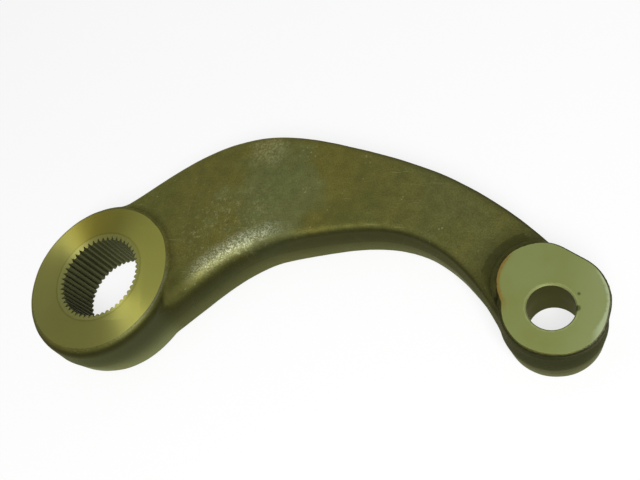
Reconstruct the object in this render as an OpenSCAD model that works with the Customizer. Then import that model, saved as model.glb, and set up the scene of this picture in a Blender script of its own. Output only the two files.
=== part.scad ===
// Pitman arm: a one-piece steel drop forging with a serrated eye for the steering box shaft,
// a tapered eye for the ball stud and a bowed flat arm between them.
// The forging is drafted both ways from a parting line at mid height; faces and eyes are machined.
// Millimetres, Z up along both eyes, X from the serrated eye to the tapered eye.
// The origin is on the axis of the serrated eye, at mid height, where the parting line lies.

/* [Layout] */
// Distance between the axes of the two eyes
centre_distance = 157.5; // [145:0.5:170]
// Height of both eyes over their machined faces
eye_height = 20.5; // [19:0.5:23]
// Draft of the forged walls, in degrees from the vertical
draft = 6; // [4:0.5:8]

/* [Serrated eye] */
// Diameter of the upper machined face
big_face_d = 56; // [54:0.5:58]
// Radius of the forged corner that the upper facing cut leaves
big_upper_corner = 4; // [3:0.5:5]
// Radius of the forged corner at the lower face
big_lower_corner = 3; // [2:0.5:4]
// Diameter over the serration tips
tip_d = 30; // [28:0.5:31]
// Number of serrations
serrations = 48; // [36:12:48]
// Depth of a serration groove below the tips
groove_depth = 1.3; // [1:0.1:1.6]
// Width of a groove at the tips, as a share of the pitch
groove_share = 0.7; // [0.55:0.05:0.75]
// Outer diameter of the lead-in chamfer on both faces
lead_in_d = 34.4; // [33.8:0.2:36]
// Depth of the lead-in chamfer at the serration tips
lead_in_depth = 0.8; // [0.5:0.1:1.5]

/* [Tapered eye] */
// Small end diameter of the taper, at the upper face
taper_small_d = 13.5; // [12:0.1:14.5]
// Taper, as the length over which the diameter grows by one
taper_ratio = 10; // [8:1:12]
// Diameter of the round boss at its faces
small_boss_d = 27.5; // [26:0.25:28.5]
// Radius of the forged corner at both faces
small_corner = 1; // [0.6:0.1:1.6]
// Diameter of the pad under the upper face
pad_d = 28.5; // [27:0.25:30]
// Offset of the pad from the axis of the eye, along X
pad_off_x = 1.1; // [0:0.1:1.5]
// Offset of the pad from the axis of the eye, along Y
pad_off_y = 2.8; // [1.5:0.1:3.5]
// Diameter of the pad's end away from the arm
pad_end_d = 27.7; // [26:0.1:28.5]
// Length by which the pad runs on away from the arm
pad_drop = 2.7; // [1.5:0.1:3.5]
// Diameter of the pad's end towards the arm
pad_tail_d = 24.3; // [23:0.1:26]
// Length by which the pad runs on towards the arm
pad_run = 6.9; // [5:0.1:8]
// Direction in which the pad runs on towards the arm, in degrees from X
pad_run_angle = 133; // [120:1:140]
// Edge break of the taper at both faces
edge_break = 0.4; // [0.2:0.1:0.8]

/* [Arm] */
// Greatest offset of the arm's centreline from the line between the eyes
bow_offset = 39.8; // [36:0.2:42]
// Width of the arm half way along
mid_width = 45; // [43:0.5:47]
// Depth of the arm's upper face below the machined face at the serrated eye
big_step = 1; // [0.6:0.1:1.6]
// Depth of the arm's upper face below the machined face at the tapered eye
small_step = 2.2; // [1.6:0.1:3]
// Height of the arm's lower face above the lower machined faces
lower_step = 0.5; // [0.3:0.1:1.5]
// Corner radius of the arm's upper edges
edge_r = 2.8; // [2:0.2:3.6]
// Corner radius of the arm's lower edges
lower_edge_r = 2; // [1.4:0.2:3]
// Corner radius of the inner upper edge beside the serrated eye
inner_edge_r = 7.5; // [5:0.5:8]
// Radius of the fillet where the arm's faces run up to the bosses
root_fillet = 4; // [3:0.5:6]

/* [Hidden] */
steel = [0.42, 0.41, 0.22];
top = eye_height / 2;
over = 1;
round_fn = 96;

// Angle from the vertical at which a facing cut meets the forged corner
corner_cut = 25;

// Bowed centreline, as a Bezier curve from eye to eye, in shares of the centre distance and of the bow
path_shares = [[0, 0], [0.223, 0.451], [0.333, 1.938], [0.451, 0.043], [0.636, 1.942], [1, 0]];
path = [for (p = path_shares) [p.x * centre_distance, p.y * bow_offset]];

// Half widths along the centreline at the parting line, as a Bezier curve in shares of the eyes' faces
// The middle control value gives the arm its width half way
big_r = big_face_d / 2;
small_r = pad_d / 2;
width_big = [1.043 * big_r, 0.614 * big_r];
width_small = [0.182 * small_r, 1.04 * small_r];
width_mid = (8 * mid_width - width_big[0] - 4 * width_big[1] - 4 * width_small[0] - width_small[1]) / 6;
half_widths = concat(width_big, [width_mid], width_small);

// Sections of the arm, closer beside the bosses, and steps in each edge and across each face
stations = [each [0:0.025:0.2], each [0.24:0.04:0.84], each [0.86:0.01:0.99], 1];
edge_steps = 5;
face_steps = 12;

// Upper pad of the tapered eye: centre and radius of its middle, of its end and of its tail
eye = [centre_distance, 0];
pad = eye + [pad_off_x, pad_off_y];
pads = [
    [pad, small_r],
    [pad - [0, pad_drop], pad_end_d / 2],
    [pad + pad_run * [cos(pad_run_angle), sin(pad_run_angle)], pad_tail_d / 2]];

function bezier(p, t) =
    len(p) == 1 ? p[0] : bezier([for (i = [0:len(p) - 2]) (1 - t) * p[i] + t * p[i + 1]], t);

function heading(p, t) =
    let (d = bezier([for (i = [0:len(p) - 2]) p[i + 1] - p[i]], t)) d / norm(d);

function ease(a, b, t) =
    let (s = max(0, min(1, (t - a) / (b - a)))) s * s * (3 - 2 * s);

function arc(centre, r, from, to, n) =
    [for (i = [0:n]) centre + r * [cos(from + (to - from) * i / n), sin(from + (to - from) * i / n)]];

// Height of the arm's upper face, depth of its lower face and radius of its inner upper edge along the way
function half_height(t) = top - big_step - (small_step - big_step) * t;
lower_height = top - lower_step;
function inner_r(t) = inner_edge_r + (edge_r - inner_edge_r) * ease(0.36, 0.62, t);

// One corner of a section, tangent to the drafted wall and to the flat face
// side is 1 for the outer wall and -1 for the inner wall, half is 1 above the parting line
function corner(w, h, r, side, half) =
    [for (q = arc([w - (h - r) * tan(draft) - r / cos(draft), h - r], r, draft, 90, edge_steps))
        [side * q.x, half * q.y]];

// Points on the straight line between two points, without its ends
function between(a, b, n) = [for (i = [1:n - 1]) a + (b - a) * i / n];

// Rise of a root fillet at a distance from the foot of a boss, held below the machined face
function rise(s, step) =
    let (out = max(0, min(root_fillet, root_fillet - s)))
    min(0.85 * step, root_fillet - sqrt(root_fillet * root_fillet - out * out));

// Rise of the arm's faces at a point, from the nearest boss
function root_rise(p, step) =
    max(
        rise(norm(p) - big_r - big_step, step),
        max([for (disc = pads) rise(norm(p - disc[0]) - disc[1], step)]));

function turned(list) = [for (i = [len(list) - 1:-1:0]) list[i]];

// Section across the arm: parting line on the inner wall, over the top and back underneath
function section(t) =
    let (
        w = bezier(half_widths, t),
        h = half_height(t),
        inner = corner(w, h, inner_r(t), -1, 1),
        outer = turned(corner(w, h, edge_r, 1, 1)),
        outer_low = corner(w, lower_height, lower_edge_r, 1, -1),
        inner_low = turned(corner(w, lower_height, lower_edge_r, -1, -1)))
    concat(
        [[-w, 0]], inner, between(inner[edge_steps], outer[0], face_steps), outer,
        [[w, 0]], outer_low, between(outer_low[edge_steps], inner_low[0], face_steps), inner_low);

function placed(t) =
    let (c = bezier(path, t), d = heading(path, t))
    [for (q = section(t))
        let (
            p = c + q.x * [-d.y, d.x],
            h = q.y > 0 ? half_height(t) : lower_height)
        [p.x, p.y, q.y * (1 + root_rise(p, top - h) / h)]];

// Half profile of a boss as it comes from the dies: faces, corners and drafted walls
function boss_profile(face_r, upper_r, lower_r) =
    let (
        x_up = face_r - upper_r * sin(corner_cut),
        z_up = top - upper_r * cos(corner_cut),
        wall_r = x_up + upper_r * cos(draft),
        wall_z = z_up + upper_r * sin(draft),
        rim_r = wall_r + wall_z * tan(draft),
        z_low = lower_r * cos(corner_cut) - top,
        x_low = rim_r + (z_low - lower_r * sin(draft)) * tan(draft) - lower_r * cos(draft))
    concat(
        [[0, -top]],
        arc([x_low, z_low], lower_r, corner_cut - 90, -draft, 6),
        [[rim_r, 0]],
        arc([x_up, z_up], upper_r, draft, 90 - corner_cut, 6),
        [[0, top]]);

module forged_arm() {
    rings = [for (t = stations) placed(t)];
    n = len(rings[0]);
    last = len(rings) - 1;
    points = [for (ring = rings) for (p = ring) p];
    skin = [for (i = [0:last - 1]) for (j = [0:n - 1])
        let (a = i * n + j, b = i * n + (j + 1) % n)
        each [[a, b, b + n], [a, b + n, a + n]]];
    ends = [[for (j = [n - 1:-1:0]) j], [for (j = [0:n - 1]) last * n + j]];
    polyhedron(points = points, faces = concat(skin, ends), convexity = 6);
}

module big_boss() {
    rotate_extrude($fn = round_fn)
        polygon(boss_profile(big_r, big_upper_corner, big_lower_corner));
}

// Half profile of a pad: a corner at the upper face, and walls that draw in towards the lower face
function pad_profile(face_r) =
    let (x_up = face_r - small_corner * sin(corner_cut), z_up = top - small_corner * cos(corner_cut))
    concat(
        [[0, -top], [x_up + small_corner * cos(draft) - (z_up + top) * tan(draft), -top]],
        arc([x_up, z_up], small_corner, -draft, 90 - corner_cut, 6),
        [[0, top]]);

// The small boss is round about its eye; its upper face lies on a lopsided pad of three round parts
module small_boss() {
    translate(eye)
        rotate_extrude($fn = round_fn)
            polygon(boss_profile(small_boss_d / 2, small_corner, small_corner));
    for (disc = pads)
        translate(disc[0])
            rotate_extrude($fn = round_fn)
                polygon(pad_profile(disc[1]));
}

// Bore over the serration tips with a lead-in chamfer at both faces
module big_bore() {
    mouth_d = lead_in_d + (lead_in_d - tip_d) * over / lead_in_depth;
    translate([0, 0, -top - over])
        cylinder(h = eye_height + 2 * over, d = tip_d, $fn = round_fn);
    translate([0, 0, top - lead_in_depth])
        cylinder(h = lead_in_depth + over, d1 = tip_d, d2 = mouth_d, $fn = round_fn);
    translate([0, 0, -top - over])
        cylinder(h = lead_in_depth + over, d1 = mouth_d, d2 = tip_d, $fn = round_fn);
}

// V grooves between the serrations, broached right through the eye
module grooves() {
    pitch = 360 / serrations;
    tip_r = tip_d / 2;
    open = tip_r * sin(pitch * groove_share / 2);
    inside = tip_r * cos(pitch * groove_share / 2);
    apex = tip_r + groove_depth;
    flare = open / (apex - inside);
    for (i = [0:serrations - 1])
        rotate((i + 0.5) * pitch)
            translate([0, 0, -top - over])
                linear_extrude(height = eye_height + 2 * over)
                    polygon([
                        [apex, 0],
                        [inside - over, flare * (groove_depth + over)],
                        [inside - over, -flare * (groove_depth + over)]]);
}

// Taper for the ball stud, wide end at the lower face, with broken edges
module taper() {
    growth = 1 / taper_ratio;
    large_d = taper_small_d + eye_height * growth;
    translate([0, 0, -top - over])
        cylinder(
            h = eye_height + 2 * over,
            d1 = large_d + over * growth,
            d2 = taper_small_d - over * growth,
            $fn = round_fn);
    translate([0, 0, top - edge_break])
        cylinder(
            h = edge_break + over,
            d1 = taper_small_d,
            d2 = taper_small_d + 2 * (edge_break + over),
            $fn = round_fn);
    translate([0, 0, -top - over])
        cylinder(
            h = edge_break + over,
            d1 = large_d + 2 * (edge_break + over),
            d2 = large_d,
            $fn = round_fn);
}

module pitman_arm() {
    color(steel)
        difference() {
            union() {
                forged_arm();
                big_boss();
                small_boss();
            }
            big_bore();
            grooves();
            translate(eye)
                taper();
        }
}

pitman_arm();
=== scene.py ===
"""Looks of a forged pitman arm: the forged skin, the machined eyes, their finishes and the studio."""
import logging
import math
from contextlib import contextmanager
from dataclasses import dataclass, field, fields
from enum import Enum
from functools import reduce
from typing import Iterator, Optional, Sequence, Union

import bmesh
import bpy
import numpy as np
from mathutils import Matrix, Vector, noise


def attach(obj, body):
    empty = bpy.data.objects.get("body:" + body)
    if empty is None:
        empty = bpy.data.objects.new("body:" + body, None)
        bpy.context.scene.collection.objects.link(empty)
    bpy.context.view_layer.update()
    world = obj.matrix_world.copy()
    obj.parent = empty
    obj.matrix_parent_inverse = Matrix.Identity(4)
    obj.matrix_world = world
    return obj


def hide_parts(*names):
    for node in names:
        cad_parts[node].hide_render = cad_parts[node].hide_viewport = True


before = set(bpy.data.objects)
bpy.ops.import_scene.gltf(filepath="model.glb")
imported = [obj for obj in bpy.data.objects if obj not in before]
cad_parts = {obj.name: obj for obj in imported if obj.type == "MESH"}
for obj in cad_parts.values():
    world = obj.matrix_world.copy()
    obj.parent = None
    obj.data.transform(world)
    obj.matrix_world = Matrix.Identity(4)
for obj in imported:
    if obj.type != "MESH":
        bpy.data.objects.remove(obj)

LOG = logging.getLogger("pitman_arm")
MM = 0.001
TINY = 1e-9
NODE = "pitman_arm"
# Vertex layers of the forged skin: abraded rims with a painted highlight, where the painted highlight lies,
# painted shade in hollows and on upper walls, painted light on side walls.
SKIN_LAYERS = ("edge", "round", "hollow", "skirt", "wall")
IN_PLAN = (1.0, 1.0, 0.0)
WHITE = (1.0, 1.0, 1.0, 1.0)
Array = np.ndarray
Amount = Union[float, np.ndarray]
Socket = bpy.types.NodeSocket
Term = Union[float, tuple, Socket]
Thing = bpy.types.Object


class Finish(Enum):
    """Kinds of surface on the arm, in the order of the piece's material slots."""

    FORGED = 0
    TURNED = 1
    BROACHED = 2
    MILLED = 3
    REAMED = 4


@dataclass(frozen=True)
class ArmSizes:
    """Driving sizes of the arm in millimetres, the same as those of the solid model."""

    centre_distance: float = 157.5
    top: float = 10.25
    draft: float = math.radians(6.0)
    big_face_r: float = 28.0
    big_upper_corner: float = 4.0
    big_lower_corner: float = 3.0
    tip_r: float = 15.0
    serrations: int = 48
    groove_depth: float = 1.3
    groove_share: float = 0.7
    lead_in_r: float = 17.2
    lead_in_depth: float = 0.8
    taper_small_r: float = 6.75
    taper_ratio: float = 10.0
    edge_break: float = 0.4
    small_boss_r: float = 13.75
    small_corner: float = 1.0
    pad_r: float = 14.25
    pad_offset: tuple = (1.1, 2.8)
    pad_end_r: float = 13.85
    pad_drop: float = 2.7
    pad_tail_r: float = 12.15
    pad_run: float = 6.9
    pad_run_angle: float = math.radians(133.0)
    pad_step: float = math.radians(2.5)
    corner_cut: float = math.radians(25.0)
    bow_offset: float = 39.8
    mid_width: float = 45.0
    big_step: float = 1.0
    small_step: float = 2.2
    lower_step: float = 0.5
    edge_r: float = 2.8
    lower_edge_r: float = 2.0
    inner_edge_r: float = 7.5
    big_blend: float = 3.0
    small_blend: float = 5.0
    wall_blend: float = 14.0
    width_shares: tuple = (1.043, 0.614, 0.182, 1.04)
    path_shares: tuple = (
        (0.0, 0.0), (0.223, 0.451), (0.333, 1.938), (0.451, 0.043), (0.636, 1.942), (1.0, 0.0))

    @property
    def half_widths(self) -> Array:
        """Control values of the arm's half width along its centreline.

        A Bezier curve of five values weighs them 1, 4, 6, 4 and 1 at its middle, so the third value follows
        from the width there.

        Returns:
            Five half widths.
        """
        big, small = self.big_face_r, self.pad_r
        ends = np.array(self.width_shares) * (big, big, small, small)
        middle = (8 * self.mid_width - ends @ np.array([1.0, 4.0, 4.0, 1.0])) / 6
        return np.insert(ends, 2, middle)

    @property
    def path(self) -> Array:
        """Control points of the arm's bowed centreline."""
        return np.array(self.path_shares) * (self.centre_distance, self.bow_offset)

    @property
    def small_eye(self) -> Array:
        """Axis of the tapered eye in plan."""
        return np.array([self.centre_distance, 0.0])

    @property
    def pads(self) -> list[tuple[Array, float]]:
        """Discs of the small eye's upper pad.

        Returns:
            Centre in plan and radius of the middle, the end and the tail.
        """
        middle = self.small_eye + self.pad_offset
        turn = self.pad_run_angle
        return [
            (middle, self.pad_r),
            (middle - (0.0, self.pad_drop), self.pad_end_r),
            (middle + self.pad_run * np.array([math.cos(turn), math.sin(turn)]), self.pad_tail_r)]

    @property
    def pad_outline(self) -> Array:
        """Outline of the pad at the upper face: the line drawn tight round its three discs.

        Returns:
            Its points in plan.
        """
        pads = self.pads
        turn = self.pad_step * np.arange(round(2 * math.pi / self.pad_step))
        way = np.stack([np.cos(turn), np.sin(turn)], 1)
        reach = np.stack([way @ centre + radius for centre, radius in pads], 1)
        return np.array([pads[i][0] + pads[i][1] * w for i, w in zip(reach.argmax(1), way)])


def bezier(points: Array, share: Array) -> Array:
    """Point on a Bezier curve.

    Args:
        points: Control points or control values, one row each.
        share: Shares of the way along the curve.

    Returns:
        One row for each share.
    """
    rows = np.asarray(points, float)
    rows = rows.reshape(len(rows), -1)
    weight = np.asarray(share, float)[:, None]
    level = [np.repeat(row[None, :], len(weight), 0) for row in rows]
    while len(level) > 1:
        level = [(1 - weight) * a + weight * b for a, b in zip(level, level[1:])]
    return level[0]


def ease(low: Amount, high: Amount, value: Array) -> Array:
    """Smooth step from 0 at low to 1 at high."""
    share = np.clip((value - low) / (high - low), 0.0, 1.0)
    return share * share * (3 - 2 * share)


def between(ends: tuple, share: Array) -> Array:
    """Value at a share of the way from the first end to the second."""
    return ends[0] + (ends[1] - ends[0]) * share


def unit(vectors: Array) -> Array:
    """Rows brought to length one."""
    return vectors / np.maximum(np.linalg.norm(vectors, axis=1), TINY)[:, None]


@dataclass(frozen=True)
class Form:
    """Distance field of a form at some points, with the direction in which it grows."""

    gap: Array
    way: Array
    # How far either form faces down where the fillet dwindles, the share that goes, and its least reach.
    FLUSH_SPAN = (0.3, 0.8)
    FLUSH_CUT = 0.85
    LEAST = 1e-6

    def joined(self, other: "Form", radius: float, wide: float) -> "Form":
        """Union with another form, with a fillet where their walls meet at an angle.

        The lower side, which is nearly flush, has only a slight fillet.

        Args:
            other: The other form.
            radius: Radius of the fillet where the walls meet square.
            wide: Radius that is added where two upright walls meet at a slight angle.

        Returns:
            The union.
        """
        turn = np.clip(1 - (self.way * other.way).sum(1), 0.0, 1.0)
        upright = ((1 - self.way[:, 2] ** 2) * (1 - other.way[:, 2] ** 2)) ** 2
        down = -np.minimum(self.way[:, 2], other.way[:, 2])
        flush = 1 - self.FLUSH_CUT * ease(*self.FLUSH_SPAN, down)
        reach = np.maximum(turn * flush * (radius + wide * upright * (1 - turn)), self.LEAST)
        share = np.maximum(reach - np.abs(self.gap - other.gap), 0.0) / reach
        gap = np.minimum(self.gap, other.gap) - share * share * reach / 4
        return Form(gap, np.where((self.gap < other.gap)[:, None], self.way, other.way))


def rounded_block(side: Array, rise: Array, corner: Array, outward: Array, height: Array) -> Form:
    """Block with rounded corners.

    Args:
        side: Signed distance to the drafted wall.
        rise: Signed distance to the flat face.
        corner: Corner radius.
        outward: Unit vectors in plan, out of the wall.
        height: Height above the parting line.

    Returns:
        Its field.
    """
    a, b = side + corner, rise + corner
    over_a, over_b = np.maximum(a, 0.0), np.maximum(b, 0.0)
    outer = np.hypot(over_a, over_b)
    gap = np.minimum(np.maximum(a, b), 0.0) + outer - corner
    reach = np.maximum(outer, TINY)
    part_a = np.where(outer > 0, over_a / reach, a > b)
    part_b = np.where(outer > 0, over_b / reach, a <= b)
    return Form(gap, np.column_stack([outward * part_a[:, None], np.sign(height) * part_b]))


@dataclass
class PlanOutline:
    """Closed line in plan that tells how far points are from it, in millimetres."""

    points: Array
    pitch: float = 1.5
    margin: float = 75.0
    window: int = 10
    batches: int = 40

    def __post_init__(self) -> None:
        """Keeps the line's segments and, on a grid, the number of the segment nearest to each node."""
        self.edge = np.roll(self.points, -1, axis=0) - self.points
        self.length2 = (self.edge * self.edge).sum(1)
        (x, y), (run, rise) = self.points.T, self.edge.T
        self.outward = np.sign((x * rise - y * run).sum()) * np.stack([rise, -run], 1)
        self.low = self.points.min(0) - self.margin
        span = np.ptp(self.points, axis=0) + 2 * self.margin
        self.count = np.ceil(span / self.pitch).astype(int) + 1
        grid = np.meshgrid(*(np.arange(n) for n in self.count), indexing="ij")
        nodes = np.stack(grid, -1).reshape(-1, 2)
        every = np.arange(len(self.points))[None, :]
        self.nearest = np.concatenate([
            self.away(self.low + self.pitch * part, every)[1]
            for part in np.array_split(nodes, self.batches)])

    def away(self, plan: Array, number: Array) -> tuple[Array, Array, Array]:
        """Way to the nearest of some segments.

        Args:
            plan: Points in plan.
            number: Numbers of the segments to try, one row for each point or one for all.

        Returns:
            Vectors from the segment to the points, the number of the segment, and the share of it passed.
        """
        offset = plan[:, None, :] - self.points[number]
        edge = self.edge[number]
        along = np.clip((offset * edge).sum(-1) / self.length2[number], 0.0, 1.0)
        offset = offset - along[..., None] * edge
        best = (offset * offset).sum(-1).argmin(1)
        rows = np.arange(len(plan))
        number = np.broadcast_to(number, offset.shape[:2])
        return offset[rows, best], number[rows, best], along[rows, best]

    def distance(self, plan: Array) -> tuple[Array, Array, Array]:
        """Distance in plan to the line.

        Args:
            plan: Points in plan.

        Returns:
            Signed distances, negative inside, unit vectors out of the line, and how many segments are
            passed.
        """
        node = np.clip(np.rint((plan - self.low) / self.pitch).astype(int), 0, self.count - 1)
        start = self.nearest[node[:, 0] * self.count[1] + node[:, 1]]
        number = (start[:, None] + np.arange(-self.window, self.window + 1)) % len(self.points)
        away, nearest, along = self.away(plan, number)
        gap = np.hypot(*away.T)
        sign = np.where((away * self.outward[nearest]).sum(1) < 0, -1.0, 1.0)
        return sign * gap, away * (sign / np.maximum(gap, TINY))[:, None], nearest + along


@dataclass(frozen=True)
class PlanTerms:
    """Distances in plan from points to the forms of the forging, and where they lie along the arm."""

    wall: Array
    wall_way: Array
    share: Array
    inner: Array
    run: Array
    big: Array
    big_way: Array
    small: Array
    small_way: Array
    pad: Array
    pad_way: Array

    def repeated(self, count: int) -> "PlanTerms":
        """Terms with each entry repeated, for a column of points over each place."""
        return PlanTerms(*(np.repeat(getattr(self, f.name), count, axis=0) for f in fields(self)))


@dataclass
class ForgedBlank:
    """The forging as it leaves the dies, before the eyes and faces are machined, in millimetres."""

    sizes: ArmSizes = field(default_factory=ArmSizes)
    samples: int = 180
    cap_points: int = 26
    cell: float = 0.8
    room: float = 6.0
    headroom: float = 2.0
    bow_side: float = 66.0
    settling: int = 2
    inner_span: tuple = (0.36, 0.62)
    boss_span: tuple = (-2.0, 1.4)
    waviness: float = 0.10
    waves: tuple = ((0.085, 1.0), (0.21, 0.5))

    def __post_init__(self) -> None:
        """Samples the centreline and the outline of the arm at the parting line."""
        share = np.linspace(0.0, 1.0, self.samples)
        path = self.sizes.path
        centre = bezier(path, share)
        heading = unit(bezier(np.diff(path, axis=0), share))
        across = np.stack([-heading[:, 1], heading[:, 0]], 1)
        width = bezier(self.sizes.half_widths, share)
        turn = np.linspace(0.0, math.pi, self.cap_points)[1:-1, None]
        caps = [
            centre[i] + width[i] * way * (np.cos(turn) * across[i] + np.sin(turn) * heading[i])
            for i, way in ((-1, 1.0), (0, -1.0))]
        outer, inner = centre + across * width, centre - across * width
        self.outline = PlanOutline(np.vstack([outer, caps[0], inner[::-1], caps[1]]))
        cap = len(turn)
        self.edge_share = np.concatenate([share, np.ones(cap), share[::-1], np.zeros(cap)])
        self.inner_start = self.samples + cap
        self.pad_line = PlanOutline(self.sizes.pad_outline)

    def plan_terms(self, plan: Array) -> PlanTerms:
        """What the field needs to know of points in plan.

        Args:
            plan: The points.

        Returns:
            Their terms.
        """
        s = self.sizes
        big, off = np.hypot(*plan.T), plan - s.small_eye
        small = np.hypot(*off.T)
        wall, wall_way, passed = self.outline.distance(plan)
        pad, pad_way, _ = self.pad_line.distance(plan)
        return PlanTerms(
            wall, wall_way, np.interp(passed, np.arange(len(self.edge_share)), self.edge_share),
            passed >= self.inner_start,
            np.clip(plan[:, 0] / s.centre_distance, 0.0, 1.0),
            big, plan / np.maximum(big, TINY)[:, None],
            small, off / np.maximum(small, TINY)[:, None], pad, pad_way)

    def arm(self, terms: PlanTerms, height: Array) -> Form:
        """Field of the bowed arm.

        Args:
            terms: Terms of the points in plan.
            height: Their height above the parting line.

        Returns:
            Its field.
        """
        s = self.sizes
        tall = s.top - s.big_step - (s.small_step - s.big_step) * terms.run
        inner = between((s.inner_edge_r, s.edge_r), ease(*self.inner_span, terms.share))
        upper = np.where(terms.inner, inner, s.edge_r)
        corner = np.where(height > 0, upper, s.lower_edge_r)
        rise = np.abs(height) - np.where(height > 0, tall, s.top - s.lower_step)
        wall = terms.wall + np.abs(height) * math.tan(s.draft)
        return rounded_block(wall, rise, corner, terms.wall_way, height)

    def boss(self, gap: Array, way: Array, height: Array, face_r: float, upper: float,
             lower: float) -> Form:
        """Field of a boss.

        Args:
            gap: Distance in plan from the boss's axis.
            way: Unit vectors in plan away from the axis.
            height: Height above the parting line.
            face_r: Radius at which the facing cut meets the upper corner.
            upper: Corner radius above.
            lower: Corner radius below.

        Returns:
            Its field.
        """
        s = self.sizes
        slope = math.tan(s.draft)
        foot = s.top - upper * math.cos(s.corner_cut) + upper * math.sin(s.draft)
        rim = face_r - upper * math.sin(s.corner_cut) + upper * math.cos(s.draft) + foot * slope
        corner = np.where(height > 0, upper, lower)
        tall = s.top + corner * (1 - math.cos(s.corner_cut))
        wall = gap - rim + np.abs(height) * slope
        return rounded_block(wall, np.abs(height) - tall, corner, way, height)

    def pad(self, terms: PlanTerms, height: Array) -> Form:
        """Field of the small eye's pad, whose walls draw in towards the lower face.

        Args:
            terms: Terms of the points in plan.
            height: Their height above the parting line.

        Returns:
            Its field.
        """
        s = self.sizes
        corner = s.small_corner
        out = corner * (math.cos(s.draft) - math.sin(s.corner_cut))
        depth = s.top - corner * math.cos(s.corner_cut) - height
        wall = terms.pad - out + np.maximum(depth, 0.0) * math.tan(s.draft)
        rise = np.abs(height) - (s.top + corner * (1 - math.cos(s.corner_cut)))
        return rounded_block(wall, rise, np.full_like(height, corner), terms.pad_way, height)

    def forms(self, terms: PlanTerms, height: Array) -> tuple[Form, Form, Form, Form]:
        """Fields of the forms that make up the forging.

        Args:
            terms: Terms of the points in plan.
            height: Their height above the parting line.

        Returns:
            Fields of the arm, the big boss, the small boss and the small boss's pad.
        """
        s = self.sizes
        big = self.boss(
            terms.big, terms.big_way, height, s.big_face_r, s.big_upper_corner, s.big_lower_corner)
        small = self.boss(
            terms.small, terms.small_way, height, s.small_boss_r, s.small_corner, s.small_corner)
        return self.arm(terms, height), big, small, self.pad(terms, height)

    def field(self, terms: PlanTerms, height: Array) -> Array:
        """Distance field of the whole forging.

        Args:
            terms: Terms of the points in plan.
            height: Their height above the parting line.

        Returns:
            Distances, negative inside.
        """
        s = self.sizes
        arm, big, small, pad = self.forms(terms, height)
        body = arm.joined(big, s.big_blend, s.wall_blend)
        return body.joined(small, s.small_blend, s.wall_blend).joined(pad, s.small_blend, 0.0).gap

    def boss_share(self, points: Array) -> Array:
        """Share of the bosses in the skin at points: one on a boss and nought on the arm."""
        arm, *bosses = self.forms(self.plan_terms(points[:, :2]), points[:, 2])
        return ease(*self.boss_span, arm.gap - np.minimum.reduce([boss.gap for boss in bosses]))

    def distance(self, points: Array) -> Array:
        """Distance field at points, negative inside."""
        return self.field(self.plan_terms(points[:, :2]), points[:, 2])

    def normals(self, points: Array, reach: float = 0.05) -> Array:
        """Unit normals of the distance field.

        Args:
            points: Where they are wanted.
            reach: How far to each side the field is sampled.

        Returns:
            One row for each point.
        """
        slopes = [
            self.distance(points + shift) - self.distance(points - shift)
            for shift in reach * np.eye(3)[:2]]
        terms = self.plan_terms(points[:, :2])
        slopes.append(self.field(terms, points[:, 2] + reach) - self.field(terms, points[:, 2] - reach))
        return unit(np.stack(slopes, 1))

    def bend(self, points: Array, reach: float) -> Array:
        """Curvature of the skin: positive where it is rounded over and negative in a hollow.

        Args:
            points: Where it is wanted.
            reach: How far to each side the field is sampled.

        Returns:
            One value for each point.
        """
        total = -6.0 * self.distance(points)
        for shift in reach * np.eye(3):
            total = total + self.distance(points - shift) + self.distance(points + shift)
        return total / (reach * reach)

    def skin(self) -> tuple[Array, Array]:
        """Closed quad skin of the forging.

        Returns:
            Vertices and quads as rows of vertex numbers.
        """
        s = self.sizes
        near = -s.big_face_r - self.room
        low = np.array([near, near, -s.top - self.headroom])
        high = np.array([s.centre_distance + s.pad_r + self.room, self.bow_side, s.top + self.headroom])
        count = np.ceil((high - low) / self.cell).astype(int) + 1
        axes = [low[i] + self.cell * np.arange(count[i]) for i in range(3)]
        plan = np.stack(np.meshgrid(axes[0], axes[1], indexing="ij"), -1).reshape(-1, 2)
        terms = self.plan_terms(plan).repeated(count[2])
        values = self.field(terms, np.tile(axes[2], len(plan))).reshape(count)
        points, quads = surface_net(values, low, self.cell)
        for _ in range(self.settling):
            points = points - self.normals(points) * self.distance(points)[:, None]
        return points + self.normals(points) * self.swell(points)[:, None], quads

    def swell(self, points: Array) -> Array:
        """How far the waves of the forged skin lift it at points."""
        lift = [sum(part * noise.noise(Vector(p) * rate) for rate, part in self.waves) for p in points]
        return self.waviness * np.array(lift)

    def skin_normals(self, points: Array, reach: float = 0.4) -> Array:
        """Unit normals of the waved skin.

        Args:
            points: Where they are wanted.
            reach: How far to each side the waves are sampled.

        Returns:
            One row for each point.
        """
        slope = [self.swell(points + shift) - self.swell(points - shift) for shift in reach * np.eye(3)]
        return unit(self.normals(points) - np.stack(slope, 1) / (2 * reach))


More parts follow.
